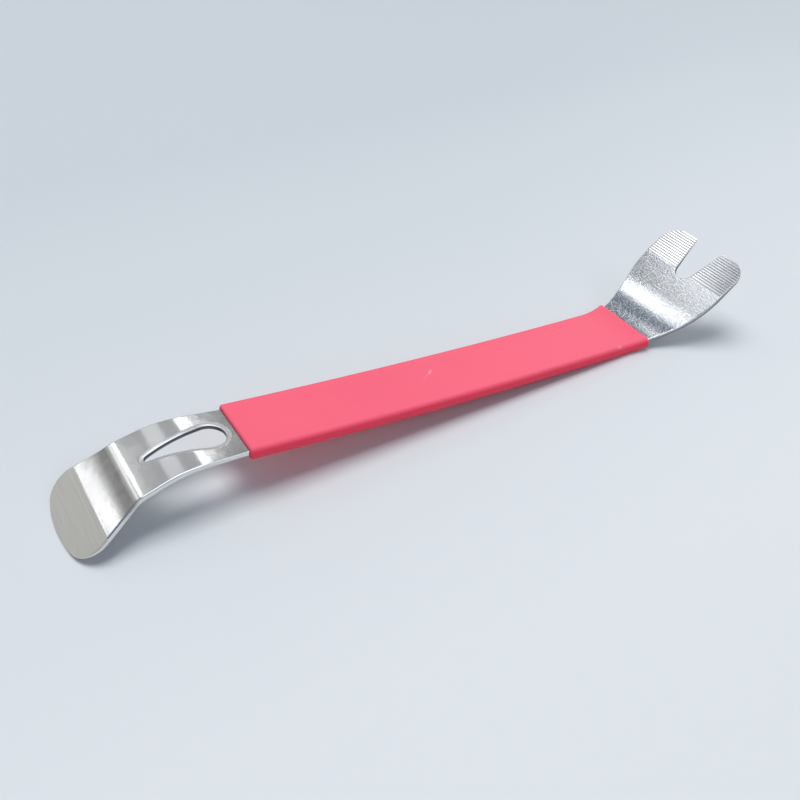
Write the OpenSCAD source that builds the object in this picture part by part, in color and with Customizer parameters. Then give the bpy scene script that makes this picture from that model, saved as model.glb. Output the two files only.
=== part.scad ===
// Trim removal tool: one flat steel strip, bent down into a broad prying toe at one end and up into a
// forked lifter at the other, with a soft sleeve drawn over its straight middle.
// It lies as it comes to rest on a bench, on the front of the toe and on the heel of the sleeve.
// Millimetres, +X towards the fork, +Z up, origin on the bench under the middle of the tool.

/* [Steel strip] */
// Width of the strip under the sleeve
strip_width = 20; // [17:0.5:23]
// Thickness of the strip
strip_thickness = 1.5; // [1.2:0.1:2]
// Rise of the strip's ends above its middle, along the slightly bowed grip
grip_bow = 1; // [0.5:0.1:1.8]
// Thickness left along the two ground edges
edge_thickness = 0.3; // [0.2:0.05:0.5]

/* [Grip sleeve] */
// Length of the sleeve along the strip
sleeve_length = 141.5; // [125:0.5:160]
// Wall of the sleeve
sleeve_wall = 1.15; // [0.8:0.05:1.4]
// Rounding of the sleeve's long edges
sleeve_rounding = 1.5; // [0.9:0.1:1.5]
// Rounding of the sleeve's two ends
sleeve_end = 0.7; // [0.3:0.1:0.8]
// Gap between the strip and the bore of the sleeve
sleeve_clearance = 0.05; // [0.05:0.05:0.2]

/* [Prying toe] */
// Straight length from the sleeve to the first bend
arm_length = 11.2; // [9:0.1:15]
// Radius of the first bend, on its top face
arm_radius = 36; // [30:0.5:42]
// Angle that the first bend turns down
arm_angle = 21.2; // [16:0.2:25]
// Straight length from the first bend to the ridge
ridge_gap = 5; // [3:0.1:8]
// Radius of the ridge, on its top face
ridge_radius = 10; // [6:0.5:14]
// Further angle that the ridge turns down
ridge_angle = 19.5; // [15:0.5:22]
// Width of the strip at the ridge
ridge_width = 24.2; // [23:0.1:26.5]
// Radius of the hollow between the ridge and the ground face
hollow_radius = 110; // [90:1:130]
// Angle that the hollow turns back up
hollow_angle = 5; // [4:0.2:7]
// Length of the ground face at the tip of the toe
toe_bevel = 11.7; // [9.5:0.1:14]
// Widest part of the toe
toe_width = 31.2; // [29.5:0.1:35]
// Radius of the toe's corners
toe_corner = 7.3; // [5.5:0.1:8.5]
// Radius of the toe's curved front
toe_front = 36; // [30:1:50]
// Radius of the hollow sides where the toe widens
toe_shoulder = 20; // [10:1:30]

/* [Puller slot] */
// Distance from the sleeve to the slot
slot_gap = 1.2; // [1:0.1:2]
// Radius of the slot's round end
slot_radius = 6.1; // [5.1:0.1:6.6]
// Radius of the slot's narrow end
slot_tip_radius = 0.9; // [0.5:0.1:1.2]
// Distance between the centres of the two ends
slot_length = 18.2; // [15.5:0.1:19.5]

/* [Fork] */
// Length of the bend that the sleeve covers
fork_cover = 10; // [7:0.5:12]
// Radius of the bend, on its top face
fork_radius = 36.7; // [32:0.1:41]
// Angle that the bend turns up
fork_angle = 42.5; // [36:0.5:48]
// Straight length from the bend to the ground face
fork_length = 9.5; // [7:0.1:13]
// Length of the ground face on the tines
tine_bevel = 12.8; // [11:0.1:15]
// Width across both tines
fork_width = 35.2; // [32:0.1:39]
// Angle of the flared sides to the centre line
fork_flare = 18.2; // [16:0.2:21]
// Radius of the hollow sides where the flare starts
waist_radius = 44.5; // [36:0.5:48]
// Radius of the rounded sides where the flare ends
shoulder_radius = 34.3; // [28:0.1:40]
// Radius of the tines' outer corners
tine_corner = 6.7; // [4.5:0.1:8]
// Depth of the notch from the tips
notch_depth = 14.8; // [12.6:0.1:16.5]
// Radius of the notch's round bottom
notch_radius = 3.55; // [2.8:0.05:4.1]
// Angle of each side of the notch to the centre line
notch_angle = 10.7; // [7:0.1:12]
// Radius of the two corners at the notch's mouth
mouth_radius = 0.8; // [0.4:0.1:1.2]

/* [Hidden] */

// Colours
steel = [0.74, 0.75, 0.76];
coral_red = [0.93, 0.33, 0.41];

// Facets: degrees along a drawn arc and along a bend, the least steps of a bend
arc_step = 4;
bend_step = 1.5;
least_steps = 7;

// Facets: steps along the flare, round an edge of the sleeve, along its flared part and round its ends
flare_steps = 24;
edge_steps = 6;
sleeve_steps = 10;
end_steps = 4;

// Spare length that carries a cut past the metal
spare = 5;

// Overlap of neighbouring outlines, so that they cross instead of lying on one another
lap = 0.1;

// Each row is a straight length, then the top-face radius and the angle of the bend after it, up positive
fork_start = sleeve_length - fork_cover;
grip_radius = pow(fork_start, 2) / (8 * grip_bow);
grip_angle = turn_over(fork_start, grip_radius);
pry_bends = [
    [arm_length, arm_radius, -arm_angle],
    [ridge_gap, ridge_radius, -ridge_angle],
    [0, hollow_radius, hollow_angle]
];
fork_bends = [
    [0, grip_radius, grip_angle],
    [0, fork_radius, fork_angle]
];

// A place on the strip's top face is [distance from the sleeve, height, slope in degrees]
function along(place, length) =
    [place.x + length * cos(place.z), place.y + length * sin(place.z), place.z];

function below(place, depth) =
    [place.x + depth * sin(place.z), place.y - depth * cos(place.z), place.z];

function turned(place, radius, angle) =
    let (centre = below(place, -sign(angle) * radius))
    below([centre.x, centre.y, place.z + angle], sign(angle) * radius);

function after_bends(bends, count) =
    count == 0 ? [0, 0, 0] :
    let (bend = bends[count - 1], before = after_bends(bends, count - 1))
    turned(along(before, bend[0]), bend[1], bend[2]);

// Distance of a place along the slope of another
function measured_along(place, base) =
    (place.x - base.x) * cos(base.z) + (place.y - base.y) * sin(base.z);

// Points of an arc between two angles
function arc(centre, radius, from, to) =
    let (steps = max(2, ceil(abs(to - from) / arc_step)), turn = (to - from) / steps)
    [for (i = [0 : steps]) centre + radius * [cos(from + turn * i), sin(from + turn * i)]];

// The same points without the first, where an arc leaves a line that another outline already draws
function arc_from(centre, radius, from, to) =
    let (points = arc(centre, radius, from, to))
    [for (i = [1 : len(points) - 1]) points[i]];

// An outline from its upper half, closed by the same half below the centre line
function both_sides(half) =
    concat(half, [for (i = [len(half) - 1 : -1 : 0]) [half[i].x, -half[i].y]]);

// Places along a chain of bends: its start, the end of each straight length and the steps of each bend
function chain(bends, count) =
    count == 0 ? [[0, 0, 0]] :
    let (before = chain(bends, count - 1), bend = bends[count - 1])
    let (start = along(before[len(before) - 1], bend[0]))
    let (steps = max(least_steps, ceil(abs(bend[2]) / bend_step)))
    concat(
        before,
        bend[0] > 0 ? [start] : [],
        [for (i = [1 : steps]) turned(start, bend[1], bend[2] * i / steps)]
    );

function turn_over(length, radius) = length / radius * 180 / PI;

// Where the ground faces of the toe and of the fork start
toe = after_bends(pry_bends, len(pry_bends));
ridge = after_bends(pry_bends, 2);
grip_end = after_bends(fork_bends, 1);
blade = after_bends(fork_bends, len(fork_bends));
tines = along(blade, fork_length);

// The strip from the tip of the toe to the tips of the fork, past both ends by the spare length
grip_places = chain(fork_bends, 1);
fork_places = concat(chain(fork_bends, len(fork_bends)), [along(tines, tine_bevel + spare)]);
pry_places = concat(chain(pry_bends, len(pry_bends)), [along(toe, toe_bevel + spare)]);
pry_places_from_tip = [for (i = [len(pry_places) - 1 : -1 : 1])
    [-pry_places[i].x, pry_places[i].y, -pry_places[i].z]];
strip_places = concat(pry_places_from_tip, fork_places);

// Toe outline, in the plane of the toe with its ground face from 0 to toe_bevel
toe_root = measured_along(below([lap, 0, 0], strip_thickness), toe);
toe_ridge = [measured_along(ridge, toe), ridge_width / 2];
front_centre = [toe_bevel - toe_front, 0];
corner_y = toe_width / 2 - toe_corner;
corner_centre = [front_centre.x + sqrt(pow(toe_front - toe_corner, 2) - pow(corner_y, 2)), corner_y];
corner_end = atan2(corner_y, corner_centre.x - front_centre.x);
taper_angle = atan2(toe_ridge.y - strip_width / 2, toe_ridge.x - toe_root);
widening = corner_centre - toe_ridge;
widening_angle = atan2(widening.y, widening.x) + asin(toe_corner / norm(widening));
toe_fillet_tangent = toe_shoulder * tan((widening_angle - taper_angle) / 2);
toe_fillet_centre = toe_ridge - toe_fillet_tangent * [cos(taper_angle), sin(taper_angle)]
    + toe_shoulder * [-sin(taper_angle), cos(taper_angle)];

toe_outline = both_sides(concat(
    [[toe_root - spare, strip_width / 2 - spare * tan(taper_angle)]],
    arc(toe_fillet_centre, toe_shoulder, taper_angle - 90, widening_angle - 90),
    arc(corner_centre, toe_corner, widening_angle + 90, corner_end),
    arc(front_centre, toe_front, corner_end, 0)
));

// Slot outline, from above
slot_centre = [slot_gap + slot_radius, 0];
slot_tip = slot_centre + [slot_length, 0];
slot_side = 90 - asin((slot_radius - slot_tip_radius) / slot_length);
slot_outline = both_sides(concat(
    arc(slot_centre, slot_radius, 180, slot_side),
    arc(slot_tip, slot_tip_radius, slot_side, 0)
));

// Half width of the strip on its way to the fork, seen square to the middle of the bend
flare_plane = [grip_end.x, grip_end.y, grip_end.z + fork_angle / 2];
flare_end = measured_along(tines, flare_plane);
shoulder_start = flare_end - shoulder_radius * sin(fork_flare);
shoulder_half = fork_width / 2 - shoulder_radius * (1 - cos(fork_flare));
waist_rise = waist_radius * (1 - cos(fork_flare));
waist_end = shoulder_start - (shoulder_half - strip_width / 2 - waist_rise) / tan(fork_flare);
waist_start = waist_end - waist_radius * sin(fork_flare);

// How far an arc falls away from its tangent
function arc_drop(radius, run) = radius - sqrt(pow(radius, 2) - pow(run, 2));

function flare_half(v) =
    v < waist_start ? strip_width / 2 :
    v < waist_end ? strip_width / 2 + arc_drop(waist_radius, v - waist_start) :
    v < shoulder_start ? shoulder_half - (shoulder_start - v) * tan(fork_flare) :
    v < flare_end ? fork_width / 2 - arc_drop(shoulder_radius, flare_end - v) :
    fork_width / 2;

function flare_side(grow) = concat(
    [for (i = [1 : flare_steps])
        let (v = waist_start + (flare_end - waist_start) * i / flare_steps) [v, flare_half(v) + grow]],
    [[flare_end + 2 * tine_bevel, fork_width / 2 + grow]]
);

// The flare of the blade starts inside the straight sides; the outline of the bore holds them as well
flare_outline = both_sides(concat([[waist_start - spare, strip_width / 2 - lap]], flare_side(0)));

bore_half = strip_width / 2 + sleeve_clearance;
bore_outline = both_sides(concat(
    [[-fork_start - spare, bore_half], [waist_start, bore_half]],
    flare_side(sleeve_clearance)
));

// Tine outline, in the plane of the fork with its ground face from 0 to tine_bevel
tine_outline = both_sides(concat(
    [[-spare, fork_width / 2 + lap], [tine_bevel - tine_corner, fork_width / 2 + lap]],
    arc_from([tine_bevel - tine_corner, fork_width / 2 - tine_corner], tine_corner, 90, 0)
));

// Notch outline, in the same plane
notch_centre = [tine_bevel - notch_depth + notch_radius, 0];
mouth_x = tine_bevel - mouth_radius;
notch_run = mouth_x - notch_centre.x;
mouth_y = (notch_radius + mouth_radius) / cos(notch_angle) + notch_run * tan(notch_angle);
notch_outline = both_sides(concat(
    arc(notch_centre, notch_radius, 180, 90 + notch_angle),
    arc([mouth_x, mouth_y], mouth_radius, notch_angle - 90, 0),
    [[tine_bevel + spare, mouth_y]]
));

// Sleeve sections: a ring at each step of the grip, closer ones along the flare and round both ends
sleeve_gap = sleeve_clearance + sleeve_wall;
sleeve_depth = strip_thickness + 2 * sleeve_gap;
sleeve_flare_start = fork_start + min(0, waist_start / cos(fork_angle / 2));
sleeve_flare_length = sleeve_length - sleeve_end - sleeve_flare_start;

function strip_place(s) =
    s <= fork_start ? turned([0, 0, 0], grip_radius, turn_over(s, grip_radius)) :
    turned(grip_end, fork_radius, turn_over(s - fork_start, fork_radius));

// Each row is a place and the loss all round the section there, which follows a quarter circle at each end
end_turns = [for (i = [0 : end_steps]) 90 * i / end_steps];

function end_reach(turn) = sleeve_end * (1 - sin(turn));
function end_loss(turn) = sleeve_end * (1 - cos(turn));

sleeve_rows = concat(
    [for (turn = end_turns) [strip_place(end_reach(90 - turn)), end_loss(90 - turn)]],
    [for (place = grip_places) if (place.x > spare && place.x < sleeve_flare_start - spare) [place, 0]],
    [for (i = [0 : sleeve_steps - 1])
        [strip_place(sleeve_flare_start + sleeve_flare_length * i / sleeve_steps), 0]],
    [for (turn = end_turns) [strip_place(sleeve_length - end_reach(turn)), end_loss(turn)]]
);

function sleeve_section(half, loss) =
    let (x = half - sleeve_rounding)
    let (top = sleeve_gap - sleeve_rounding)
    let (bottom = top - sleeve_depth + 2 * sleeve_rounding)
    [for (corner = [[x, top, 0], [-x, top, 90], [-x, bottom, 180], [x, bottom, 270]])
        for (i = [0 : edge_steps])
            let (turn = corner.z + 90 * i / edge_steps)
            [corner.x, corner.y] + (sleeve_rounding - loss) * [cos(turn), sin(turn)]];

function sleeve_ring(place, loss) =
    let (half = flare_half(measured_along(place, flare_plane)) + sleeve_gap)
    [for (p = sleeve_section(half, loss)) let (q = below(place, -p.y)) [q.x, p.x, q.y]];

// Rest on the bench: the toe's lower front edge and the sleeve's heel, a round part under the fork's bend
tip = below(along(toe, toe_bevel), strip_thickness);
tip_top = below(along(toe, toe_bevel), strip_thickness - edge_thickness);
tine_tip = below(along(tines, tine_bevel), strip_thickness);
heel_radius = fork_radius + strip_thickness + sleeve_gap;
heel_centre = below(grip_end, -fork_radius);
tip_to_heel = [heel_centre.x + tip.x, heel_centre.y - tip.y];
rest_angle = atan2(tip_to_heel.y, tip_to_heel.x) - asin(heel_radius / norm(tip_to_heel));

function rested_x(x, height) = (x + tip.x) * cos(rest_angle) + (height - tip.y) * sin(rest_angle);

middle_x = (rested_x(-tip_top.x, tip_top.y) + rested_x(tine_tip.x, tine_tip.y)) / 2;

module on_bench()
    translate([-middle_x, 0, 0])
        rotate([0, rest_angle, 0])
            translate([tip.x, 0, -tip.y])
                children();

// Moves a part onto the strip's top face, with its X along the strip and its Z square to it
module at(place)
    translate([place.x, 0, place.y])
        rotate([0, -place.z, 0])
            children();

// The strip in side view: its top face out, its lower face back
module strip_profile(places, grow = 0) {
    top = [for (place = places) below(place, -grow)];
    bottom = [for (i = [len(places) - 1 : -1 : 0]) below(places[i], strip_thickness + grow)];
    polygon([for (place = concat(top, bottom)) [place.x, place.y]]);
}

// Takes metal off the top face from a line across it to a thin edge
module ground_face(length, width) {
    slope = asin((strip_thickness - edge_thickness) / length);
    rotate([0, slope, 0])
        translate([-spare, -width / 2, 0])
            cube([length + 3 * spare, width, strip_thickness]);
}

// The whole strip before its outline is cut: one side view, drawn out to the full width
module bent_strip(width)
    rotate([90, 0, 0])
        linear_extrude(height = width, center = true)
            strip_profile(strip_places);

// The strip's outline: its straight sides, the toe and the flare of the fork
module plan_outline(reach) {
    translate([-ridge.x, -strip_width / 2, -reach / 2])
        cube([ridge.x + fork_start, strip_width, reach]);
    mirror([1, 0, 0])
        at(toe)
            linear_extrude(height = reach, center = true)
                polygon(toe_outline);
    at(flare_plane)
        linear_extrude(height = reach, center = true)
            polygon(flare_outline);
}

// What comes off the toe: the ground face and the puller slot, from the sleeve outwards along +X
module toe_cuts(width, reach) {
    at(toe)
        ground_face(toe_bevel, width);
    linear_extrude(height = reach, center = true)
        polygon(slot_outline);
}

// What comes off the fork: the ground face, the tines' corners and the notch
module fork_cuts(width)
    at(tines) {
        ground_face(tine_bevel, width);
        linear_extrude(height = fork_length, center = true) {
            difference() {
                translate([0, -width / 2])
                    square([tine_bevel + 2 * spare, width]);
                polygon(tine_outline);
            }
            polygon(notch_outline);
        }
    }

module steel_blade() {
    reach = 2 * fork_start;
    width = max(toe_width, fork_width) + 2 * spare;
    color(steel)
        on_bench()
            difference() {
                intersection() {
                    bent_strip(width);
                    plan_outline(reach);
                }
                mirror([1, 0, 0])
                    toe_cuts(width, reach);
                fork_cuts(width);
            }
}

// The bore: the strip's own bend and flare, grown by the clearance
module sleeve_bore()
    intersection() {
        rotate([90, 0, 0])
            linear_extrude(height = fork_width, center = true)
                strip_profile(concat([[-spare, 0, 0]], fork_places), sleeve_clearance);
        at(flare_plane)
            linear_extrude(height = 2 * fork_start, center = true)
                polygon(bore_outline);
    }

// An end face of the outside: strips between the upper and the lower half of a ring
function end_strips(first, sides) =
    [for (j = [0 : sides / 2 - 2]) [first + j, first + j + 1, first + sides - 2 - j, first + sides - 1 - j]];

// The outside: rounded sections joined along the strip, smaller towards both ends
module sleeve_outside() {
    rings = [for (row = sleeve_rows) sleeve_ring(row[0], row[1])];
    sides = len(rings[0]);
    last = len(rings) - 1;
    polyhedron(
        points = [for (ring = rings) each ring],
        faces = concat(
            end_strips(0, sides),
            [for (i = [0 : last - 1]) for (j = [0 : sides - 1])
                let (k = (j + 1) % sides, here = i * sides, next = here + sides)
                [here + j, next + j, next + k, here + k]],
            [for (strip = end_strips(last * sides, sides)) [strip[3], strip[2], strip[1], strip[0]]]
        )
    );
}

module grip_sleeve()
    color(coral_red)
        on_bench()
            difference() {
                sleeve_outside();
                sleeve_bore();
            }

steel_blade();
grip_sleeve();
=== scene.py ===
# %% [markdown]
# # Trim removal tool
# The tool is one flat strip of plated steel. One end is bent down into a broad toe, the other is bent up
# into a fork, and a red vinyl sleeve covers the middle. The imported solids give the place and size of both
# pieces, so the scene loads them first and keeps them, hidden, where the new surfaces stand for them.

# %% Load the imported model
import bpy
import numpy as np
from mathutils import Matrix, Quaternion, Vector


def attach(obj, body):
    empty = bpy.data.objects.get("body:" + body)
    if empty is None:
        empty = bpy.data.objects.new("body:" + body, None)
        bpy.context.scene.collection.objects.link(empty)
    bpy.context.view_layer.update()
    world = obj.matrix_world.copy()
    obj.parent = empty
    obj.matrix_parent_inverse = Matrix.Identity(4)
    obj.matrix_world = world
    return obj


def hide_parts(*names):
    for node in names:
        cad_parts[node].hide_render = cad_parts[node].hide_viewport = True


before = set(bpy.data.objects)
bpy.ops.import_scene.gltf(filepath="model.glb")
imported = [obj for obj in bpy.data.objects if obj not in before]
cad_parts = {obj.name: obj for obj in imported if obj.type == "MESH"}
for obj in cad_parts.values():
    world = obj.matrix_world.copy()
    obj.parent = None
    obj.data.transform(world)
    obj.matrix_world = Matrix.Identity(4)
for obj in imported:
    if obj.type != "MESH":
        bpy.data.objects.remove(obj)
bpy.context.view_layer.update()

MM = 0.001
print("solids:", sorted(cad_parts))

# %% [markdown]
# ## The bent centre line
# Bending a strip in a press hardly changes its length, so the whole tool can be laid out flat. A point has
# a distance along the strip, called its run, a distance across it, and a depth below its top face. Bending
# is then one formula that takes those three numbers into space. That is easier than moving vertices about,
# because every edge, notch and groove can be drawn flat.

# %% Sizes of the strip, in millimetres, as in the solids
strip_width, strip_thickness, edge_thickness = 20.0, 1.5, 0.3
sleeve_length, sleeve_gap, sleeve_clearance = 141.5, 1.2, 0.05
arm_length, arm_radius, arm_angle = 11.2, 36.0, 21.2
ridge_gap, ridge_radius, ridge_angle, ridge_width = 5.0, 10.0, 19.5, 24.2
hollow_radius, hollow_angle, toe_bevel = 110.0, 5.0, 11.7
grip_bow, fork_cover, fork_radius, fork_angle = 1.0, 10.0, 36.7, 42.5
fork_length, tine_bevel = 9.5, 12.8

fork_start = sleeve_length - fork_cover
grip_radius = fork_start ** 2 / (8 * grip_bow)
grip_angle = np.degrees(fork_start / grip_radius)
print("the grip's bow turns it by %.2f degrees over %.1f mm" % (grip_angle, fork_start))

# %% Follow the bends
follow_points = 12001


def follow(lengths, turns):
    """Places along a bent line. Its slope changes evenly over each length by the turn given for it, in
    degrees, and the place is the running sum of the cosine and the sine of the slope."""
    knots = np.concatenate([[0], np.cumsum(lengths)])
    run = np.linspace(0, knots[-1], follow_points)
    slope = np.interp(run, knots, np.radians(np.concatenate([[0], np.cumsum(turns)])))
    middle = (slope[1:] + slope[:-1]) / 2
    x = np.concatenate([[0], np.cumsum(np.cos(middle)) * run[1]])
    z = np.concatenate([[0], np.cumsum(np.sin(middle)) * run[1]])
    return run, x, z, slope


hollow_length = hollow_radius * np.radians(hollow_angle)
pry_lengths = [arm_length, arm_radius * np.radians(arm_angle), ridge_gap,
               ridge_radius * np.radians(ridge_angle), hollow_length, toe_bevel]
pry_turns = [0, -arm_angle, 0, -ridge_angle, hollow_angle, 0]
pry_run, pry_x, pry_z, pry_slope = follow(pry_lengths, pry_turns)
fork_lengths = [fork_start, fork_radius * np.radians(fork_angle), fork_length + tine_bevel]
fork_run, fork_x, fork_z, fork_slope = follow(fork_lengths, [grip_angle, fork_angle, 0])

strip_run = np.concatenate([-pry_run[:0:-1], fork_run])
strip_x = np.concatenate([-pry_x[:0:-1], fork_x])
strip_z = np.concatenate([pry_z[:0:-1], fork_z])
strip_slope = np.concatenate([-pry_slope[:0:-1], fork_slope])
toe_line = -sum(pry_lengths[:-1])
toe_tip = -sum(pry_lengths)
tine_tip = fork_run[-1]
tine_line = tine_tip - tine_bevel
print("strip, laid out flat: %.1f mm from the toe to the tips of the fork" % (tine_tip - toe_tip))


# %% [markdown]
# ## How it lies on the bench
# The tool rests on the front edge of its toe and on the round heel of the sleeve under the fork's bend. The
# angle follows from those two contacts alone: the line from the edge to the heel's centre, less the angle
# that the heel's radius takes.

# %% Bend a flat point and lay it on the bench
def bent(run, depth):
    """Side view of a flat point: the place on the top face at that run, then the depth square to it,
    downwards."""
    slope = np.interp(run, strip_run, strip_slope)
    x = np.interp(run, strip_run, strip_x) + depth * np.sin(slope)
    z = np.interp(run, strip_run, strip_z) - depth * np.cos(slope)
    return x, z


edge_x, edge_z = bent(toe_tip, strip_thickness)
heel_x, heel_z = bent(fork_start, -fork_radius)
heel_radius = fork_radius + strip_thickness + sleeve_gap
reach = np.hypot(heel_x - edge_x, heel_z - edge_z)
rest_angle = np.arctan2(heel_z - edge_z, heel_x - edge_x) - np.arcsin(heel_radius / reach)


def on_bench(run, across, depth):
    """A flat point in space, in metres: bent, and turned about the toe's lower edge by the rest angle."""
    x, z = bent(run, depth)
    x, z = x - edge_x, z - edge_z
    turned_x = x * np.cos(rest_angle) + z * np.sin(rest_angle)
    turned_z = z * np.cos(rest_angle) - x * np.sin(rest_angle)
    return np.stack([turned_x * MM, across * MM, turned_z * MM], axis=-1)


toe_end = on_bench(toe_tip, 0.0, strip_thickness - edge_thickness)[0]
fork_end = on_bench(tine_tip, 0.0, strip_thickness)[0]
bench_shift = np.array([-(toe_end + fork_end) / 2, 0, 0])
print("rest angle %.3f degrees" % np.degrees(rest_angle))

# %% [markdown]
# ## The camera
# The photograph was taken from close by and from above, so the toe looks larger than the fork. A camera
# with the same place, heading, tilt and roll gives the same outline in a square picture.

# %% Place the camera
camera_place = Vector((-0.128704, -0.184556, 0.180049))
camera_heading, camera_tilt, camera_roll = np.radians([32.745, 38.691, 2.617])
level_share = np.cos(camera_tilt)
forward = Vector((np.sin(camera_heading) * level_share, np.cos(camera_heading) * level_share,
                  -np.sin(camera_tilt)))
level = forward.cross(Vector((0, 0, 1))).normalized()
right = level * np.cos(camera_roll) + level.cross(forward) * np.sin(camera_roll)
upward = right.cross(forward)
camera_turn = Matrix((right, upward, -forward)).transposed().to_4x4()

camera_data = bpy.data.cameras.new("bench_camera")
camera_data.sensor_width = 36.0
camera_data.lens = 42.45
camera_data.clip_start = 0.01
camera = bpy.data.objects.new("bench_camera", camera_data)
bpy.context.scene.collection.objects.link(camera)
camera.matrix_world = Matrix.Translation(camera_place) @ camera_turn
bpy.context.scene.camera = camera
bpy.context.scene.view_settings.view_transform = "Standard"
print("camera at", [round(c, 4) for c in camera_place])


# %% [markdown]
# ## The outline of the strip, laid out flat
# The press cuts the outline before it bends the strip. Only the upper half is drawn, as arcs and straight
# lines, because the tool is the same on both sides of its centre line. Each curve is measured in the plane
# in which it was cut, and then moved to its distance along the strip.

# %% Arcs, and distances along a plane
def arc(centre, radius, start, end, count=24):
    """Points of a circle: its centre plus the radius times the cosine and sine of an angle from start to
    end, in degrees."""
    turn = np.radians(np.linspace(start, end, count))
    return np.column_stack([centre[0] + radius * np.cos(turn), centre[1] + radius * np.sin(turn)])


def reach_along(x, z, plane):
    """Distance of a place along a plane that is given by its origin and its slope."""
    return (x - plane[0]) * np.cos(plane[2]) + (z - plane[1]) * np.sin(plane[2])


toe_plane = (np.interp(-toe_line, pry_run, pry_x), np.interp(-toe_line, pry_run, pry_z), pry_slope[-1])
flare_plane = (np.interp(fork_start, fork_run, fork_x), np.interp(fork_start, fork_run, fork_z),
               np.radians(grip_angle + fork_angle / 2))
print("the toe slopes down by %.1f degrees" % -np.degrees(toe_plane[2]))

# %% The toe: curved front, round corners and the hollow sides behind them
toe_width, toe_corner, toe_front, toe_shoulder = 31.2, 7.3, 36.0, 20.0
front_centre = np.array([toe_bevel - toe_front, 0.0])
corner_y = toe_width / 2 - toe_corner
corner_centre = front_centre + [np.sqrt((toe_front - toe_corner) ** 2 - corner_y ** 2), corner_y]
corner_end = np.degrees(np.arctan2(corner_y, corner_centre[0] - front_centre[0]))

ridge_run = sum(pry_lengths[:4])
ridge_x, ridge_z = np.interp(ridge_run, pry_run, pry_x), np.interp(ridge_run, pry_run, pry_z)
ridge_point = np.array([reach_along(ridge_x, ridge_z, toe_plane), ridge_width / 2])
root = reach_along(0.0, -strip_thickness, toe_plane)
taper_angle = np.degrees(np.arctan2(ridge_point[1] - strip_width / 2, ridge_point[0] - root))
widening = corner_centre - ridge_point
corner_share = np.arcsin(toe_corner / np.hypot(*widening))
widening_angle = np.degrees(np.arctan2(widening[1], widening[0]) + corner_share)
fillet_tangent = toe_shoulder * np.tan(np.radians(widening_angle - taper_angle) / 2)
taper = np.array([np.cos(np.radians(taper_angle)), np.sin(np.radians(taper_angle))])
fillet_centre = ridge_point - fillet_tangent * taper + toe_shoulder * np.array([-taper[1], taper[0]])

toe_front_curve = np.vstack([
    arc(front_centre, toe_front, 0, corner_end),
    arc(corner_centre, toe_corner, corner_end, 90)[1:],
])
toe_side_curve = np.vstack([
    arc(corner_centre, toe_corner, 90, widening_angle + 90),
    arc(fillet_centre, toe_shoulder, widening_angle - 90, taper_angle - 90),
    [[root, strip_width / 2]],
])
toe_side_run = -np.interp(toe_side_curve[:, 0], reach_along(pry_x, pry_z, toe_plane), pry_run)
print("toe: %.1f mm wide, corners %.1f mm" % (toe_width, toe_corner))

# %% The sides from the toe to the tips of the fork, as half a width at each run
fork_width, fork_flare = 35.2, np.radians(18.2)
waist_radius, shoulder_radius, tine_corner = 44.5, 34.3, 6.7
flare_reach = reach_along(fork_x, fork_z, flare_plane)
flare_end = np.interp(tine_line, fork_run, flare_reach)
shoulder_start = flare_end - shoulder_radius * np.sin(fork_flare)
shoulder_half = fork_width / 2 - shoulder_radius * (1 - np.cos(fork_flare))
waist_half = strip_width / 2 + waist_radius * (1 - np.cos(fork_flare))
waist_end = shoulder_start - (shoulder_half - waist_half) / np.tan(fork_flare)
waist_start = waist_end - waist_radius * np.sin(fork_flare)


def fork_half(run):
    """Half the strip's width from the sleeve to the tips: straight, an arc outwards, a straight flare, an
    arc back to straight, and the tine's round corner."""
    v = np.interp(run, fork_run, flare_reach)
    past_waist = np.clip(v - waist_start, 0, waist_end - waist_start)
    waist = strip_width / 2 + waist_radius - np.sqrt(waist_radius ** 2 - past_waist ** 2)
    flare = np.clip(v - waist_end, 0, shoulder_start - waist_end) * np.tan(fork_flare)
    to_end = np.clip(flare_end - v, 0, flare_end - shoulder_start)
    shoulder = np.sqrt(shoulder_radius ** 2 - to_end ** 2) - shoulder_radius * np.cos(fork_flare)
    past_corner = np.clip(run - (tine_tip - tine_corner), 0, tine_corner)
    corner_loss = tine_corner - np.sqrt(tine_corner ** 2 - past_corner ** 2)
    return waist + flare + np.where(v > shoulder_start, shoulder, 0) - corner_loss


def half_width(run):
    """Half the strip's width at a run: the toe's side curve before the sleeve, and the fork's formula
    after it."""
    toe_half = np.interp(run, toe_side_run, toe_side_curve[:, 1])
    return np.where(run < toe_side_run[-1], toe_half, fork_half(np.maximum(run, 0)))


print("half width at the tine line: %.2f mm" % half_width(np.array(tine_line)))

# %% [markdown]
# ## The slot and the notch
# The slot is a drop: two arcs joined by straight sides. The punch that cut it drew the steel down all round,
# so a rim slopes into the opening. The solid's slot follows the outer line of that rim. The curve here is
# the opening itself, inside the rim, and the rim's slope is added further on, with the rolled edges.

# %% The slot and the notch
slot_centre, slot_radius, slot_tip_radius, slot_length = 7.3, 4.6, 1.1, 16.7
tip_points, round_points, slot_side_points = 13, 41, 40
slot_side = 90 - np.degrees(np.arcsin((slot_radius - slot_tip_radius) / slot_length))
tip_arc = arc((slot_centre + slot_length, 0), slot_tip_radius, 0, slot_side, tip_points)
round_arc = arc((slot_centre, 0), slot_radius, slot_side, 180, round_points)
slot_sides = np.linspace(tip_arc[-1], round_arc[0], slot_side_points)[1:-1]
slot_plan = np.vstack([tip_arc, slot_sides, round_arc])
slot_curve = np.column_stack([-np.interp(slot_plan[:, 0], pry_x, pry_run), slot_plan[:, 1]])
slot_curve[[0, -1], 1] = 0

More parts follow.
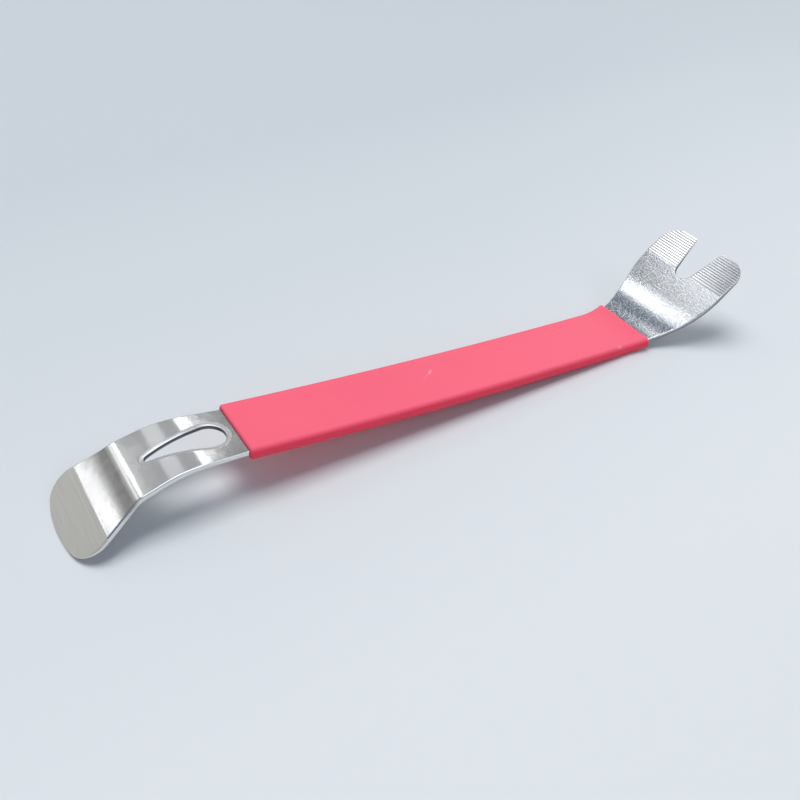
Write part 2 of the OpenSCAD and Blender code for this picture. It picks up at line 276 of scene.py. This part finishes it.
notch_depth, notch_radius, notch_angle, mouth_radius = 14.8, 3.55, 10.7, 0.8
mouth_points, notch_side_points = 9, 180
notch_start = tine_tip - notch_depth
notch_centre = notch_start + notch_radius
mouth_run = tine_tip - mouth_radius
notch_slope = np.radians(notch_angle)
mouth_reach = mouth_run - notch_centre
mouth_y = (notch_radius + mouth_radius) / np.cos(notch_slope) + mouth_reach * np.tan(notch_slope)
bottom_arc = arc((notch_centre, 0), notch_radius, 180, 90 + notch_angle, round_points)
mouth_arc = arc((mouth_run, mouth_y), mouth_radius, notch_angle - 90, 0, mouth_points)
notch_sides = np.linspace(bottom_arc[-1], mouth_arc[0], notch_side_points)[1:-1]
notch_curve = np.vstack([bottom_arc, notch_sides, mouth_arc])
notch_curve[0, 1] = 0
print("slot: %.1f mm long, notch: %.1f mm deep" % (slot_curve[-1, 0] - slot_curve[0, 0], notch_depth))

# %% [markdown]
# ## Ribs from the inner edge to the outer edge
# Half of the strip is a sheet between two edges: the centre line, or the slot or the notch where they are
# open, and the outer side. A rib joins a point of one edge to a point of the other. All ribs together make a
# grid of rows and columns, so the strip is a function of two parameters even though it has a hole in it.
# Ribs lie closer where the steel bends.

# %% Choose the ribs
fan_ribs, tip_inset = 36, 0.2
roll_room, covered_run = 1.8, 4.0
toe_wide = toe_line - corner_centre[0]
fan_outer = np.column_stack([toe_line - toe_front_curve[:, 0], toe_front_curve[:, 1]])
fan_outer = fan_outer[np.linspace(0, len(fan_outer) - 1, fan_ribs).round().astype(int)]
fan_inner = np.column_stack([np.linspace(toe_tip + tip_inset, toe_wide, fan_ribs), np.zeros(fan_ribs)])


def spaced(stops, counts):
    """Runs after the first stop and up to the last: between two stops they are even, as many as the count
    less one."""
    spans = zip(stops[:-1], stops[1:], counts)
    return np.concatenate([np.linspace(start, end, count)[1:] for start, end, count in spans])


def on_centre_line(runs):
    """Points of the centre line at those runs."""
    return np.column_stack([runs, np.zeros(len(runs))])


def straight_ribs(inner, is_open):
    """Ribs straight across: the outer point has the same run as the inner one, at half the width."""
    outer = np.column_stack([inner[:, 0], half_width(inner[:, 0])])
    return inner, outer, np.full(len(inner), is_open)


slot_tip, slot_end = slot_curve[0, 0] - roll_room, slot_curve[-1, 0] + roll_room
toe_to_slot = spaced([toe_wide, toe_line, toe_line + hollow_length, slot_tip], [12, 30, 22])
slot_to_notch = spaced([slot_end, covered_run, fork_start, notch_start - roll_room], [8, 42, 110])
rib_sets = [
    (fan_inner, fan_outer, np.zeros(fan_ribs, bool)),
    straight_ribs(on_centre_line(toe_to_slot), False),
    straight_ribs(slot_curve, True),
    straight_ribs(on_centre_line(np.append(slot_end, slot_to_notch)), False),
    straight_ribs(notch_curve, True),
]
rib_inner, rib_outer, rib_open = (np.concatenate([ribs[k] for ribs in rib_sets]) for k in range(3))
rib_count = len(rib_open)
print("ribs:", rib_count)


# %% [markdown]
# ## Rolled edges
# The press and the plating bath leave no sharp edge: each one rolls over with a radius of about a third of a
# millimetre, and that roll shows as a bright thread of light along the sides. It could be a Bevel modifier,
# but a bevel has no room on a fine grid. So the roll is a quarter circle, carried along the edges as part of
# every rib. Round the slot it is wider and flatter, which makes the rim that the punch drew down.

# %% Directions into the metal at both edges
def inward(edge, side):
    """Unit vectors square to an edge, into the metal: the edge's direction turned a quarter to the given
    side."""
    step = np.gradient(edge, axis=0)
    step /= np.maximum(np.hypot(step[:, 0], step[:, 1]), 1e-9)[:, None]
    return side * np.column_stack([-step[:, 1], step[:, 0]])


set_starts = np.cumsum([0] + [len(ribs[2]) for ribs in rib_sets])
slot_first, slot_after, notch_first = set_starts[2:5]
inner_in = np.zeros((rib_count, 2))
inner_in[slot_first:slot_after] = inward(slot_curve, 1)
inner_in[notch_first:] = inward(notch_curve, 1)
inner_in[slot_first] = inner_in[notch_first] = (-1, 0)
inner_in[slot_after - 1] = (1, 0)
outer_in = inward(rib_outer, -1)
outer_in[0] = (1, 0)

# On the tines a roll only moves across the strip, so that the ribs keep to the straight grooves.
mouth_length = 2.0
along_tines = (rib_inner[:, 0] > tine_line)[:, None] * [True, False]
inner_in[along_tines & (rib_inner[:, :1] > mouth_run - mouth_length)] = 0
outer_in[along_tines] = 0
print("ribs at the slot: %d, at the notch: %d" % (slot_after - slot_first, rib_count - notch_first))

# %% The two ground faces and the grooves
toe_slope = np.tan(np.arcsin((strip_thickness - edge_thickness) / toe_bevel))
tine_slope = np.tan(np.arcsin((strip_thickness - edge_thickness) / tine_bevel))
groove_pitch, groove_depth, groove_share, groove_margin = 0.9, 0.03, 0.42, 0.6


def ground_depth(run):
    """Depth that grinding takes off the top face: none up to the two ground lines, then in proportion to
    the distance."""
    return np.maximum(toe_line - run, 0) * toe_slope + np.maximum(run - tine_line, 0) * tine_slope


def groove(run):
    """Fine cross grooves on the tines: one narrow dip in each pitch, shaped as a raised cosine."""
    phase = np.abs(np.mod((run - tine_line) / groove_pitch, 1) - 0.5) / groove_share * 2
    dip = (1 + np.cos(np.pi * np.minimum(phase, 1))) / 2
    return np.where((run > tine_line) & (run < tine_tip - groove_margin), dip, 0)


print("grooves on each tine: %d" % (tine_bevel / groove_pitch))

# %% Carry the rolled edge along the ribs
top_roll, under_roll, rim_wide, rim_deep = 0.42, 0.3, 1.3, 0.3
roll_steps, flat_steps = 9, 26
# The fork's outer walls take part of the dark cut-wall colour, as painted shade.
roll_limit, roll_rest, fork_wall_shade = 0.38, 1.2, 0.8
round_slot = (np.arange(rib_count) >= slot_first) & (np.arange(rib_count) < slot_after)


def sheet_side(roll_radius, is_top):
    """One face of half the strip as a grid of ribs by points. Each edge is a quarter circle of the roll's
    radius that ends a little inside the edge, and between the two rolls a rib is straight. Round the top of
    the slot the quarter circle is a wide, flat ellipse. The last value marks the cut walls, whose dark colour
    is partly a dull cut face and partly painted shade: 1 round the slot and the notch, and less on the fork's
    outer sides."""
    remaining = strip_thickness - ground_depth(rib_outer[:, 0])
    radius = np.minimum(roll_radius, roll_limit * remaining)[:, None]
    has_rim = round_slot[:, None] & is_top
    wide = np.where(has_rim, rim_wide, radius) * rib_open[:, None]
    deep = np.where(has_rim, rim_deep, radius) * rib_open[:, None]
    turn = np.linspace(np.pi / 2, 0, roll_steps + 1)[None, :]
    inset = np.append(1 - np.sin(turn), [[roll_rest]], axis=1)
    drop = np.append(1 - np.cos(turn), [[0]], axis=1)
    inner = rib_inner[:, None] + inner_in[:, None] * (wide * inset)[..., None]
    outer = (rib_outer[:, None] + outer_in[:, None] * (radius * inset)[..., None])[:, ::-1]
    share = np.linspace(0, 1, flat_steps + 1)[None, 1:-1, None]
    flat = inner[:, -1:] * (1 - share) + outer[:, :1] * share
    plan = np.concatenate([inner, flat, outer], axis=1)
    between_rolls = np.zeros((rib_count, flat_steps - 1))
    fall = np.hstack([deep * drop, between_rolls, (radius * drop)[:, ::-1]])
    upright = np.clip(drop * 4 - 3, 0, 1)
    fork_wall = fork_wall_shade * (rib_outer[:, :1] > fork_start)
    wall = np.hstack([upright * rib_open[:, None], between_rolls, (upright * fork_wall)[:, ::-1]])
    if is_top:
        run = plan[..., 0]
        return plan, ground_depth(run) + fall + groove_depth * groove(run), wall
    return plan, strip_thickness - fall, wall


top_plan, top_depth, top_wall = sheet_side(top_roll, True)
under_plan, under_depth, under_wall = sheet_side(under_roll, False)
row = top_plan.shape[1]
print("points on half of one face:", rib_count * row)

# %% [markdown]
# ## From grids to one closed mesh
# The top, the lower face, the walls and the ends of the tines are quads between neighbouring ribs. The other
# half of the strip is the same with Y turned round. Points that fall together, on the centre line and at the
# tip of the toe, are merged, so the strip is one closed skin with all faces outwards. The printed volume is
# positive when they are.

# %% Quads of a grid, and merging
merge_distance = 2e-6


def quads_of(index):
    """Quads between neighbouring rows and columns of a grid of point numbers, facing up when rows run +X
    and columns +Y."""
    corners = [index[:-1, :-1], index[1:, :-1], index[1:, 1:], index[:-1, 1:]]
    return np.stack(corners, axis=-1).reshape(-1, 4)


def merged(points, quads, values):
    """Points closer than the merge distance become one; a quad that loses a corner becomes a triangle, or
    goes."""
    keys = np.round(points / merge_distance).astype(np.int64)
    _, first, number = np.unique(keys, axis=0, return_index=True, return_inverse=True)
    quads = number.reshape(-1)[quads]
    lost = quads == np.roll(quads, -1, axis=1)
    whole = quads[lost.sum(1) == 0]
    single = lost.sum(1) == 1
    triangles = quads[single][~lost[single]].reshape(-1, 3)
    used = np.unique(np.concatenate([whole.ravel(), triangles.ravel()]))
    renumber = np.zeros(len(first), int)
    renumber[used] = np.arange(len(used))
    kept = first[used]
    kept_values = {key: value[kept] for key, value in values.items()}
    return points[kept], renumber[whole], renumber[triangles], kept_values


def new_piece(name, points, quads, triangles, values, sharp=40):
    """A mesh object at the origin from arrays of points and faces, smooth but for edges sharper than the
    given angle."""
    mesh = bpy.data.meshes.new(name)
    mesh.from_pydata(points.tolist(), [], quads.tolist() + triangles.tolist())
    mesh.polygons.foreach_set("use_smooth", np.ones(len(mesh.polygons), bool))
    mesh.set_sharp_from_angle(angle=np.radians(sharp))
    for key, value in values.items():
        attribute = mesh.attributes.new(key, "FLOAT", "POINT")
        attribute.data.foreach_set("value", value.astype(np.float32))
    mesh.update()
    piece = bpy.data.objects.new(name, mesh)
    bpy.context.scene.collection.objects.link(piece)
    corners = points[np.concatenate([quads[:, :3], quads[:, [0, 2, 3]], triangles])]
    volume = np.einsum("ij,ij->i", corners[:, 0], np.cross(corners[:, 1], corners[:, 2])).sum() / 6
    print("%s: %d faces, %.1f mm3" % (name, len(mesh.polygons), volume / MM ** 3))
    return piece


# %% Faces of half the strip
plan = np.concatenate([top_plan.reshape(-1, 2), under_plan.reshape(-1, 2)])
depth = np.concatenate([top_depth.ravel(), under_depth.ravel()])
half_points = on_bench(plan[:, 0], plan[:, 1], depth) + bench_shift
index = np.arange(rib_count * row).reshape(rib_count, row)
under = index + rib_count * row

gap_ribs = ~(rib_open[:-1] & rib_open[1:])
flat_columns = np.arange(row - 1) > roll_steps
shown = (flat_columns[None, :] | ~gap_ribs[:, None]).ravel()
outer_wall = np.stack([index[:-1, -1], index[1:, -1], under[1:, -1], under[:-1, -1]], axis=-1)
inner_wall = np.stack([index[:-1, 0], under[:-1, 0], under[1:, 0], index[1:, 0]], axis=-1)[~gap_ribs]
tip_wall = np.stack([index[-1, :-1], under[-1, :-1], under[-1, 1:], index[-1, 1:]], axis=-1)
faces = [quads_of(index)[shown], quads_of(under)[shown][:, ::-1], outer_wall, inner_wall, tip_wall]
half_quads = np.concatenate(faces)
print("quads of half the strip:", len(half_quads))

# %% The steel strip, with masks for its finishes
line_blur, first_groove = 0.25, 0.3
# Behind the ridge the steel is painted darker in a mottled band: partly dirt, partly painted shade that
# darkens the steel's reflection there.
grime_shade_stops, grime_shade_shares = ridge_run + np.array([-1.6, 0.0, 2.0, 4.8]), [0, 1, 0.85, 0]
run = plan[:, 0]
is_top = np.arange(len(run)) < rib_count * row
rim_points = round_slot[:, None] & (np.arange(row) < roll_steps)
half_values = {
    "toe_ground": is_top * np.clip((toe_line - run) / line_blur, 0, 1),
    "tine_ground": is_top * np.clip((run - tine_line) / line_blur, 0, 1),
    # Painted shade in the fine grooves on the tines: they are painted darker, more so further along the tine.
    "tine_groove_shade": is_top * groove(run) * np.clip((run - tine_line) / tine_bevel + first_groove, 0, 1),
    "ridge_grime_and_shade": is_top * np.interp(-run, grime_shade_stops, grime_shade_shares),
    "fork_side": np.clip(run - fork_start, 0, 1),
    "cut_wall_and_shade": np.concatenate([top_wall.ravel(), under_wall.ravel()]),
    "slot_rim": is_top * np.tile(rim_points.ravel(), 2),
}
points = np.concatenate([half_points, half_points * [1, -1, 1]])
quads = np.concatenate([half_quads, half_quads[:, ::-1] + len(half_points)])
values = {key: np.concatenate([value, value]) for key, value in half_values.items()}
steel_strip = new_piece("steel_strip", *merged(points, quads, values))

# %% [markdown]
# ## The red sleeve
# The grip is a length of soft vinyl tube, shrunk over the strip, so it takes the strip's own section with
# rounded edges and follows its bow and the start of its flare. Its section is a rounded rectangle that is
# carried along the strip: out along the skin, over a slightly rounded cut end, and back through the bore,
# which closes the surface like a long flat ring.

# %% A rounded section
corner_steps, side_steps = 10, 10


def section(half_wide, top, low, rounding):
    """A rounded rectangle in (across, depth): four quarter circles about the corners of a smaller
    rectangle, with points along the straight sides between them."""
    turn = np.radians(np.linspace(0, 90, corner_steps + 1))
    share = np.linspace(0, 1, side_steps + 1)[None, 1:-1, None]
    corners = []
    for side, is_upper, start in ((1, True, 0), (-1, True, 90), (-1, False, 180), (1, False, 270)):
        angle = turn + np.radians(start)
        centre_depth = top + rounding if is_upper else low - rounding
        across = side * (half_wide - rounding)[:, None] + rounding[:, None] * np.cos(angle)
        corners.append(np.stack([across, centre_depth[:, None] - rounding[:, None] * np.sin(angle)], -1))
    loops = []
    for corner, following in zip(corners, corners[1:] + corners[:1]):
        loops += [corner, corner[:, -1:] * (1 - share) + following[:, :1] * share]
    return np.concatenate(loops, axis=1)


print("points round the sleeve:", 4 * (corner_steps + side_steps))

# %% Carry the section along the strip
sleeve_rounding, end_rounding, bend_lead, sheen_depth = 1.5, 0.7, 12.0, 1.1
straight_rings, bend_rings, bore_rings, end_rings = 50, 40, 60, 9
end_turn = np.linspace(0, np.pi / 2, end_rings)
end_inset = end_rounding * (1 - np.sin(end_turn))
end_loss = end_rounding * (1 - np.cos(end_turn))
bore_loss = sleeve_gap - sleeve_clearance
skin_run = np.concatenate([
    np.linspace(end_rounding, fork_start - bend_lead, straight_rings)[:-1],
    np.linspace(fork_start - bend_lead, sleeve_length - end_rounding, bend_rings),
])
bore_run = np.linspace(sleeve_length, 0, bore_rings)
ring_run = np.concatenate([skin_run, sleeve_length - end_inset[1:], bore_run, end_inset[:0:-1]])
skin_losses, bore_losses = np.zeros(len(skin_run)), np.full(bore_rings, bore_loss)
ring_loss = np.concatenate([skin_losses, end_loss[1:], bore_losses, end_loss[:0:-1]])
in_bore = ring_loss == bore_loss
ring_round = np.where(in_bore, sleeve_clearance, sleeve_rounding - ring_loss)
gap = sleeve_gap - ring_loss
rings = section(fork_half(ring_run) + gap, -gap, strip_thickness + gap, ring_round)

sleeve_points = on_bench(ring_run[:, None], rings[..., 0], rings[..., 1]) + bench_shift
ring_index = np.arange(rings[..., 0].size).reshape(rings.shape[:2])
ring_index = np.pad(ring_index, ((0, 1), (0, 1)), mode="wrap")
ring_quads = quads_of(ring_index)[:, ::-1]
# Painted light: a mask that is 1 on the top face and fades out down the sides and in the bore. The top is
# painted paler there as a painted sheen, and the sides a darker red as painted shade.
top_sheen_share = np.clip(1 - (rings[..., 1] + gap[:, None]) / sheen_depth, 0, 1) * ~in_bore[:, None]
sleeve_arrays = merged(sleeve_points.reshape(-1, 3), ring_quads, {"painted_top_sheen": top_sheen_share.ravel()})
soft_sleeve = new_piece("soft_sleeve", *sleeve_arrays, sharp=50)

# %% Stand for the solids
pairs = ((steel_strip, "steel_blade", "plated_steel"), (soft_sleeve, "grip_sleeve", "red_sleeve"))
for piece, node, slot in pairs:
    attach(piece, "root")
    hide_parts(node)
    print(piece.name, "stands for", node)


# %% [markdown]
# ## Finishes
# Real steel and vinyl are never one flat colour. Handling leaves soft cloudy smudges on both, so that effect
# is a node group that both materials use with their own values. The steel also has brush marks where the toe
# is ground, a speckled, pebbled plating on the fork, dark cut walls that are partly a dull cut face and
# partly painted shade, fine grooves on the tines that are painted darker as painted shade, and a mottled dark
# band behind the ridge that is partly dirt and partly painted shade. The sleeve is painted paler on top as a
# painted sheen, and darker down its sides as painted shade. The masks that were stored with the meshes say
# where.

# %% Helpers for nodes
def add_node(tree, kind, **settings):
    """A node of that kind, with attributes and unlinked inputs set by name."""
    node = tree.nodes.new(kind)
    for key, value in settings.items():
        if hasattr(node, key):
            setattr(node, key, value)
        else:
            node.inputs[key.replace("_", " ")].default_value = value
    return node


def math_node(tree, operation, first, second):
    """A Math node from two sockets or numbers."""
    node = tree.nodes.new("ShaderNodeMath")
    node.operation = operation
    for socket, value in zip(node.inputs, (first, second)):
        if isinstance(value, (int, float)):
            socket.default_value = value
        else:
            tree.links.new(value, socket)
    return node.outputs[0]


def between(tree, mask, low, high):
    """A number that goes from low to high with a mask."""
    node = tree.nodes.new("ShaderNodeMapRange")
    tree.links.new(mask, node.inputs["Value"])
    node.inputs["To Min"].default_value = low
    node.inputs["To Max"].default_value = high
    return node.outputs["Result"]


def ramp(tree, value, start, end):
    """A mask that goes from 0 to 1 while a value goes from start to end."""
    node = add_node(tree, "ShaderNodeMapRange", From_Min=start, From_Max=end)
    tree.links.new(value, node.inputs["Value"])
    return node.outputs["Result"]


def noise(tree, place, scale, detail, roughness):
    """A noise texture's value at a place."""
    node = add_node(tree, "ShaderNodeTexNoise", Scale=scale, Detail=detail, Roughness=roughness)
    tree.links.new(place, node.inputs["Vector"])
    return node.outputs["Fac"]


def mixed(tree, mask, first, second, blend="MIX"):
    """A colour from two colours or sockets and a mask."""
    node = tree.nodes.new("ShaderNodeMix")
    node.data_type = "RGBA"
    node.blend_type = blend
    tree.links.new(mask, node.inputs[0])
    for socket, value in ((node.inputs[6], first), (node.inputs[7], second)):
        if isinstance(value, tuple):
            socket.default_value = (*value, 1)
        else:
            tree.links.new(value, socket)
    return node.outputs[2]


def raise_skin(tree, shader, height, strength, distance):
    """Fine relief: a Bump node from a height to the shader's normal."""
    bump = add_node(tree, "ShaderNodeBump", Strength=strength, Distance=distance)
    tree.links.new(height, bump.inputs["Height"])
    tree.links.new(bump.outputs["Normal"], shader.inputs["Normal"])


# %% The smudge group
smudges = bpy.data.node_groups.new("handling_smudges", "ShaderNodeTree")
group_inputs = (("Place", "NodeSocketVector"), ("Size", "NodeSocketFloat"), ("Contrast", "NodeSocketFloat"))
for name, kind in group_inputs:
    smudges.interface.new_socket(name, in_out="INPUT", socket_type=kind)
smudges.interface.new_socket("Mask", in_out="OUTPUT", socket_type="NodeSocketFloat")
group_in, group_out = smudges.nodes.new("NodeGroupInput"), smudges.nodes.new("NodeGroupOutput")
cloud = add_node(smudges, "ShaderNodeTexNoise", Detail=4.0, Roughness=0.6)
smudges.links.new(group_in.outputs["Place"], cloud.inputs["Vector"])
smudges.links.new(group_in.outputs["Size"], cloud.inputs["Scale"])
centred = math_node(smudges, "SUBTRACT", cloud.outputs["Fac"], 0.5)
scaled = math_node(smudges, "MULTIPLY", centred, group_in.outputs["Contrast"])
smudges.links.new(math_node(smudges, "ADD", scaled, 0.5), group_out.inputs["Mask"])


def smudge(tree, place, size, contrast):
    """The smudge group placed in a material with its own size and contrast."""
    node = tree.nodes.new("ShaderNodeGroup")
    node.node_tree = smudges
    tree.links.new(place, node.inputs["Place"])
    node.inputs["Size"].default_value = size
    node.inputs["Contrast"].default_value = contrast
    clamp = tree.nodes.new("ShaderNodeClamp")
    tree.links.new(node.outputs["Mask"], clamp.inputs["Value"])
    return clamp.outputs["Result"]


def new_material(name):
    """An empty material with a Principled BSDF, and its Object coordinates."""
    material = bpy.data.materials.new(name)
    material.use_nodes = True
    tree = material.node_tree
    shader = tree.nodes["Principled BSDF"]
    place = tree.nodes.new("ShaderNodeTexCoord").outputs["Object"]
    return material, tree, shader, place


print("node group:", smudges.name)

# %% Plated steel: textures and masks
plated, tree, shader, place = new_material("plated_steel")
masks = {key: add_node(tree, "ShaderNodeAttribute", attribute_name=key).outputs["Fac"] for key in half_values}
across = add_node(tree, "ShaderNodeMapping")
across.inputs["Scale"].default_value = (1, 0.03, 1)
tree.links.new(place, across.inputs["Vector"])
brush = noise(tree, across.outputs["Vector"], 2200.0, 4.0, 0.75)
pebbles = noise(tree, place, 2300.0, 1.0, 0.5)
ripples = noise(tree, place, 330.0, 2.0, 0.55)
clouds = smudge(tree, place, 90.0, 1.6)
speckle = ramp(tree, pebbles, 0.41, 0.59)
ground = math_node(tree, "MAXIMUM", masks["toe_ground"], masks["tine_ground"])
plated_fork = math_node(tree, "MULTIPLY", masks["fork_side"], between(tree, ground, 1.0, 0.0))
patches = between(tree, smudge(tree, place, 260.0, 2.6), 0.7, 1.0)
grime_and_shade = math_node(tree, "MULTIPLY", masks["ridge_grime_and_shade"], patches)
print("masks on the steel:", ", ".join(masks))

# %% Plated steel: colour, roughness and relief
colour = mixed(tree, clouds, (0.69, 0.69, 0.695), (0.80, 0.80, 0.805))
speckled = mixed(tree, speckle, (0.42, 0.43, 0.45), (0.98, 0.98, 0.99))
brushed = mixed(tree, brush, (0.62, 0.605, 0.565), (0.9, 0.885, 0.845))
tones = (
    (math_node(tree, "MULTIPLY", plated_fork, 0.55), speckled),
    (masks["toe_ground"], brushed),
    # The band behind the ridge: partly dirt, partly painted shade.
    (grime_and_shade, (0.28, 0.275, 0.27)),
    (masks["tine_ground"], (0.57, 0.57, 0.575)),
    # The grooves on the tines are painted darker as painted shade.
    (masks["tine_groove_shade"], (0.25, 0.25, 0.26)),
    # Cut walls: partly a dull cut face, partly painted shade.
    (masks["cut_wall_and_shade"], (0.17, 0.175, 0.185)),
)
for mask, tone in tones:
    colour = mixed(tree, mask, colour, tone)
tree.links.new(colour, shader.inputs["Base Color"])

rough = between(tree, clouds, 0.08, 0.17)
rougher = (
    (masks["fork_side"], 0.04),
    (math_node(tree, "MULTIPLY", plated_fork, speckle), 0.07),
    (masks["toe_ground"], 0.24),
    (masks["cut_wall_and_shade"], 0.2),
    (masks["slot_rim"], 0.18),
    (masks["ridge_grime_and_shade"], 0.2),
)
for mask, amount in rougher:
    rough = math_node(tree, "ADD", rough, math_node(tree, "MULTIPLY", mask, amount))
tree.links.new(rough, shader.inputs["Roughness"])
shader.inputs["Metallic"].default_value = 1.0

relief = math_node(tree, "MULTIPLY", pebbles, between(tree, plated_fork, 0.05, 0.4))
for texture, mask, low, high in ((ripples, ground, 0.3, 0.0), (brush, masks["toe_ground"], 0.0, 0.35)):
    share = math_node(tree, "MULTIPLY", texture, between(tree, mask, low, high))
    relief = math_node(tree, "ADD", relief, share)
raise_skin(tree, shader, relief, 1.0, 0.05 * MM)
steel_strip.data.materials.append(plated)
print("material:", plated.name)

# %% Red vinyl
vinyl, tree, shader, place = new_material("red_vinyl")
clouds = smudge(tree, place, 55.0, 1.8)
grain = noise(tree, place, 2600.0, 3.0, 0.6)
sheen_on_top = add_node(tree, "ShaderNodeAttribute", attribute_name="painted_top_sheen").outputs["Fac"]
colour = mixed(tree, clouds, (0.89, 0.116, 0.186), (0.93, 0.126, 0.201))
# Painted light: the sides and the underside get a darker, deeper red as painted shade, and the top a paler
# red as a painted sheen.
colour = mixed(tree, sheen_on_top, (0.92, 0.044, 0.092), colour)


def scuff(centre, angle, half_long, half_wide, strength, half_deep=3.0):
    """A faint rubbed mark: a soft ellipse about a point of the skin, in millimetres, turned by an angle
    about the vertical."""
    mapping = add_node(tree, "ShaderNodeMapping", vector_type="TEXTURE")
    mapping.inputs["Location"].default_value = [c * MM for c in centre]
    mapping.inputs["Rotation"].default_value = (0, 0, np.radians(angle))
    mapping.inputs["Scale"].default_value = [c * MM for c in (half_long, half_wide, half_deep)]
    tree.links.new(place, mapping.inputs["Vector"])
    length = add_node(tree, "ShaderNodeVectorMath", operation="LENGTH")
    tree.links.new(mapping.outputs["Vector"], length.inputs[0])
    return math_node(tree, "MULTIPLY", between(tree, length.outputs["Value"], 1.0, 0.0), strength)


rubbed = scuff((1.8, 2.5, 8.8), 38, 1.9, 0.7, 0.6)
rubbed = math_node(tree, "MAXIMUM", rubbed, scuff((-0.4, 1.0, 9.0), 38, 4.2, 0.4, 0.16))
rubbed = math_node(tree, "MAXIMUM", rubbed, scuff((67.5, -10.3, 4.0), 4, 1.5, 0.7, 0.4))
colour = mixed(tree, rubbed, colour, (0.95, 0.42, 0.48))
tree.links.new(colour, shader.inputs["Base Color"])
shader.inputs["Specular IOR Level"].default_value = 0.3
tree.links.new(between(tree, clouds, 0.47, 0.55), shader.inputs["Roughness"])
raise_skin(tree, shader, grain, 0.5, 0.02 * MM)
soft_sleeve.data.materials.append(vinyl)
print("material:", vinyl.name)

# %% [markdown]
# ## Floor and light
# The tool lies on a plain pale sheet under soft boxes. The largest, high over the bench, lights the floor
# and the sleeve. Bent steel mirrors what stands round it, so each bent zone has small boxes of its own
# behind the bench, placed by angles from a spot on that zone: their images are the white bands. A box
# overhead shows in the rims and rolled edges. The grey room, cooler towards the front, gives the bands their
# edges.

# %% The floor
floor_half = 3
floor_corners = [(x * floor_half, y * floor_half, 0) for x, y in ((-1, -1), (1, -1), (1, 1), (-1, 1))]
floor_mesh = bpy.data.meshes.new("floor")
floor_mesh.from_pydata(floor_corners, [], [(0, 1, 2, 3)])
floor = bpy.data.objects.new("floor", floor_mesh)
bpy.context.scene.collection.objects.link(floor)
sheet, tree, shader, place = new_material("pale_sheet")
floor_place = tree.nodes.new("ShaderNodeSeparateXYZ")
tree.links.new(place, floor_place.inputs["Vector"])
# Painted shade: the sheet is painted darker and bluer towards the back, where the light falls off.
far_shade = ramp(tree, floor_place.outputs["Y"], -0.08, 0.2)
near_sheet = mixed(tree, smudge(tree, place, 3.0, 0.6), (0.685, 0.71, 0.735), (0.705, 0.73, 0.755))
tree.links.new(mixed(tree, far_shade, near_sheet, (0.56, 0.605, 0.645)), shader.inputs["Base Color"])
shader.inputs["Roughness"].default_value = 0.55
shader.inputs["Specular IOR Level"].default_value = 0.3
floor_mesh.materials.append(sheet)
print("floor: %d m wide" % (2 * floor_half))

# %% The room
world = bpy.data.worlds.new("grey_room")
world.use_nodes = True
bpy.context.scene.world = world
tree = world.node_tree
towards = tree.nodes.new("ShaderNodeSeparateXYZ")
tree.links.new(tree.nodes.new("ShaderNodeTexCoord").outputs["Generated"], towards.inputs["Vector"])
above_walls = ramp(tree, towards.outputs["Z"], 0.37, 0.42)
on_ceiling = ramp(tree, towards.outputs["Z"], 0.66, 0.80)
in_front = ramp(tree, towards.outputs["Y"], 0.0, -0.35)
room = mixed(tree, above_walls, (0.64, 0.645, 0.64), (0.29, 0.295, 0.30))
room = mixed(tree, on_ceiling, room, (0.18, 0.23, 0.29))
room = mixed(tree, in_front, room, (0.56, 0.67, 0.80), "MULTIPLY")
tree.links.new(room, tree.nodes["Background"].inputs["Color"])
print("world:", world.name)

# %% The soft boxes
spot_height = 0.01


def soft_box(name, heading, rise, wide, tall, radiance, spot=0.0, distance=1.0, lean=0.0, tint=(1, 1, 1)):
    """A rectangular lamp that faces a spot on the tool's centre line, given by its X. The heading (from +Y
    towards +X) and the rise are measured from there, in degrees, and the lean turns the lamp in its own
    plane. Its power is the radiance times pi times its area."""
    a, e = np.radians(heading), np.radians(rise)
    direction = Vector((np.sin(a) * np.cos(e), np.cos(a) * np.cos(e), np.sin(e)))
    lamp = bpy.data.lights.new(name, "AREA")
    lamp.shape, lamp.size, lamp.size_y = "RECTANGLE", wide, tall
    lamp.energy = radiance * np.pi * wide * tall
    lamp.color = tint
    box = bpy.data.objects.new(name, lamp)
    bpy.context.scene.collection.objects.link(box)
    box.location = Vector((spot, 0, spot_height)) + direction * distance
    turned = direction.to_track_quat("Z", "Y") @ Quaternion((0, 0, 1), np.radians(lean))
    box.rotation_euler = turned.to_euler()
    return box


key = soft_box("key_box", -12, 80, 1.25, 1.25, 6.35, distance=2.0, tint=(1.0, 0.985, 0.965))
key.visible_glossy = False
overhead = soft_box("overhead_box", 180, 85, 0.9, 0.95, 1.75)
soft_box("front_box", 152, 39, 0.5, 0.32, 2.0, tint=(0.94, 0.97, 1.0))
soft_box("rim_box", 212, 30, 0.4, 0.25, 0.8)
sleeve_panel = soft_box("sleeve_panel", 63, 33, 0.8, 0.86, 2.0, distance=1.6)
for mirrored_only in (overhead, sleeve_panel):
    mirrored_only.visible_diffuse = False

fork_spot, arm_spot, ridge_spot, toe_spot = 0.095, -0.078, -0.093, -0.098
soft_box("fork_box", -16.5, 54.1, 0.184, 0.09, 3.7, fork_spot, lean=-20)
soft_box("corner_box", 21.8, 58.4, 0.10, 0.06, 4.6, fork_spot, lean=25)
soft_box("blade_panel", -33, 52.8, 0.155, 0.105, 1.55, fork_spot)
soft_box("arm_box", 24.5, 37.1, 0.088, 0.12, 2.2, arm_spot, lean=37)
soft_box("arm_panel", 0.5, 42.0, 0.19, 0.16, 0.36, arm_spot)
soft_box("shoulder_panel", 2.0, 41.5, 0.50, 0.17, 0.18, arm_spot)
soft_box("ridge_box", -20.2, 38.2, 0.135, 0.13, 1.8, ridge_spot)
soft_box("ridge_panel", -29.5, 32.3, 0.15, 0.14, 0.9, ridge_spot)
soft_box("toe_box", -37.0, 25.9, 0.125, 0.045, 1.7, toe_spot, lean=15)
print("soft boxes:", len(bpy.data.lights))
